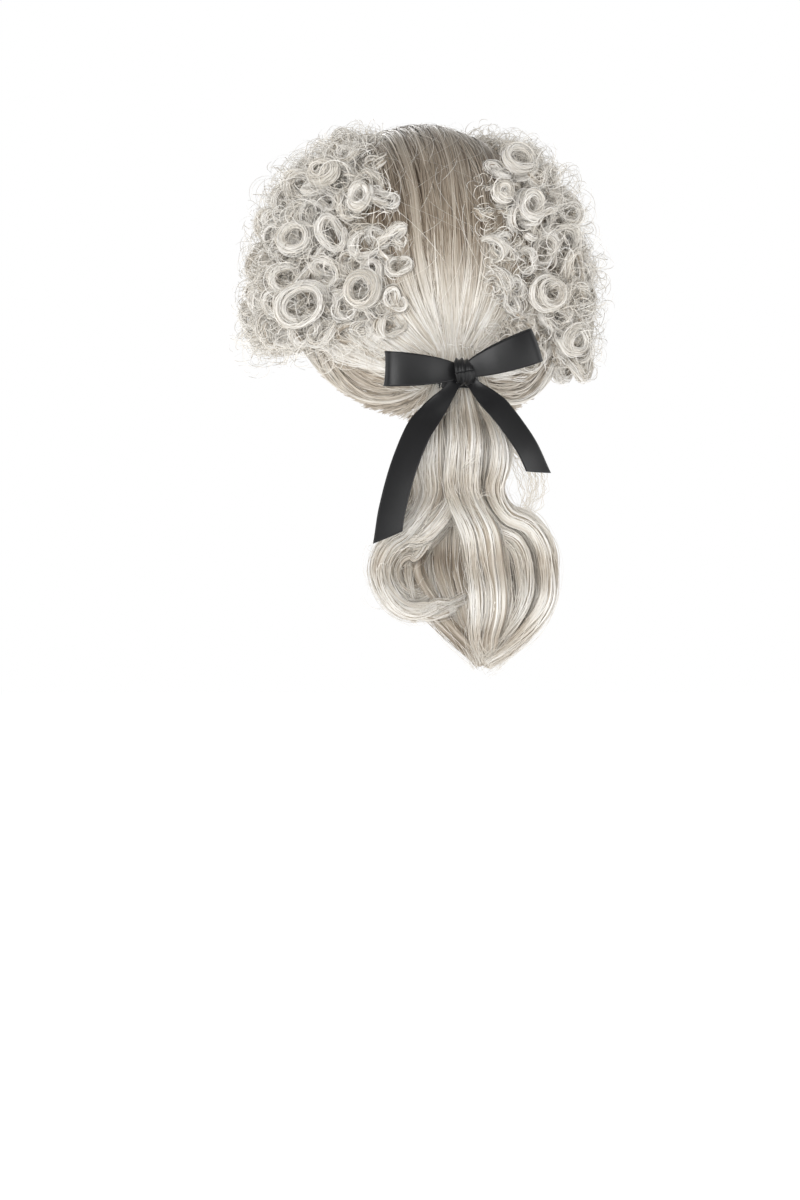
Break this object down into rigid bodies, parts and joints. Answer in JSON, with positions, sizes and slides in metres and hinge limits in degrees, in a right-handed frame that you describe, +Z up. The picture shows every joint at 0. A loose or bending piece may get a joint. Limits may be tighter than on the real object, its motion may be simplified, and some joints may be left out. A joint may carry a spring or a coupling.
{
  "type": "costume wig",
  "caption": "White 18th-century style costume wig: combed crown, curled sides, and a queue tied at the nape with a black satin bow, on an adjustable net cap.",
  "frame": {"origin": "centre of the wearer's head, about 100 mm under the top of the skull", "axes": "+Z up, the face looks along -Y, the back of the head and the queue along +Y, +X is the wearer's left"},
  "size_m": [0.2356, 0.2491, 0.346],
  "materials": {
    "hair": "glossy synthetic fibre, white-grey",
    "satin": "black satin ribbon",
    "net": "matt stretch net",
    "elastic": "matt woven elastic",
    "clear_plastic": "smooth milky plastic"
  },
  "bodies": {
    "cap": {"cap_net": "net", "curl_left_fore_1": "hair", "curl_left_fore_2": "hair", "curl_left_fore_3": "hair", "curl_left_fore_4": "hair", "curl_left_rear_1": "hair", "curl_left_rear_2": "hair", "curl_left_rear_3": "hair", "curl_left_rear_4": "hair", "curl_left_ring_1": "hair", "curl_left_ring_2": "hair", "curl_left_top": "hair", "curl_right_fore_1": "hair", "curl_right_fore_2": "hair", "curl_right_fore_3": "hair", "curl_right_fore_4": "hair", "curl_right_rear_1": "hair", "curl_right_rear_2": "hair", "curl_right_rear_3": "hair", "curl_right_rear_4": "hair", "curl_right_ring_1": "hair", "curl_right_ring_2": "hair", "curl_right_top": "hair", "front_band": "elastic", "hair_crown": "hair", "hair_gather": "hair", "hair_nape": "hair", "hair_side_left": "hair", "hair_side_right": "hair", "hook_tape_left": "elastic", "hook_tape_right": "elastic", "nape_band": "elastic", "side_band_left": "elastic", "side_band_right": "elastic", "strap_left": "elastic", "strap_right": "elastic", "weft_track_1": "elastic", "weft_track_2": "elastic", "weft_track_3": "elastic"},
    "tie": {"queue_neck": "hair", "hair_elastic": "elastic", "ribbon_wrap": "satin", "ribbon_knot": "satin"},
    "queue": {"queue_lock_left": "hair", "queue_lock_centre": "hair", "queue_lock_right": "hair", "queue_roll_left": "hair", "queue_roll_right": "hair", "queue_tip": "hair"},
    "bow_loop_left": {"ribbon_loop_left": "satin"},
    "bow_loop_right": {"ribbon_loop_right": "satin"},
    "bow_end_left": {"ribbon_end_left": "satin"},
    "bow_end_right": {"ribbon_end_right": "satin"},
    "tab_left": {"ear_tab_left": "net", "ear_stay_left": "clear_plastic"},
    "tab_right": {"ear_tab_right": "net", "ear_stay_right": "clear_plastic"},
    "hook_left": {"strap_hook_left": "clear_plastic"},
    "hook_right": {"strap_hook_right": "clear_plastic"}
  },
  "joints": [
    {"name": "queue_lift", "type": "hinge", "parent": "cap", "child": "tie", "pos_m": [0, 0.103, -0.036], "axis": [1, 0, 0], "range_deg": [0, 35]},
    {"name": "queue_sway", "type": "hinge", "parent": "tie", "child": "queue", "pos_m": [0, 0.116, -0.05], "axis": [0, 1, 0], "range_deg": [-20, 20]},
    {"name": "loop_left_droop", "type": "hinge", "parent": "tie", "child": "bow_loop_left", "pos_m": [0, 0.137, -0.046], "axis": [0, 1, 0], "range_deg": [-10, 10]},
    {"name": "loop_right_droop", "type": "hinge", "parent": "tie", "child": "bow_loop_right", "pos_m": [0, 0.137, -0.046], "axis": [0, 1, 0], "range_deg": [-10, 10]},
    {"name": "end_left_swing", "type": "hinge", "parent": "tie", "child": "bow_end_left", "pos_m": [0.009, 0.139, -0.056], "axis": [0, 1, 0], "range_deg": [-12, 18]},
    {"name": "end_right_swing", "type": "hinge", "parent": "tie", "child": "bow_end_right", "pos_m": [-0.009, 0.139, -0.056], "axis": [0, 1, 0], "range_deg": [-18, 12]},
    {"name": "tab_left_fold", "type": "hinge", "parent": "cap", "child": "tab_left", "pos_m": [0.0762, -0.023, 0.0052], "axis": [0, 1, 0], "range_deg": [0, 80]},
    {"name": "tab_right_fold", "type": "hinge", "parent": "cap", "child": "tab_right", "pos_m": [-0.0762, -0.023, 0.0052], "axis": [0, -1, 0], "range_deg": [0, 80]},
    {"name": "hook_left_slide", "type": "slide", "parent": "cap", "child": "hook_left", "axis": [-0.7998, 0.5199, -0.3001], "range_m": [0, 0.014]},
    {"name": "hook_right_slide", "type": "slide", "parent": "cap", "child": "hook_right", "axis": [0.7998, 0.5199, -0.3001], "range_m": [0, 0.014]}
  ]
}
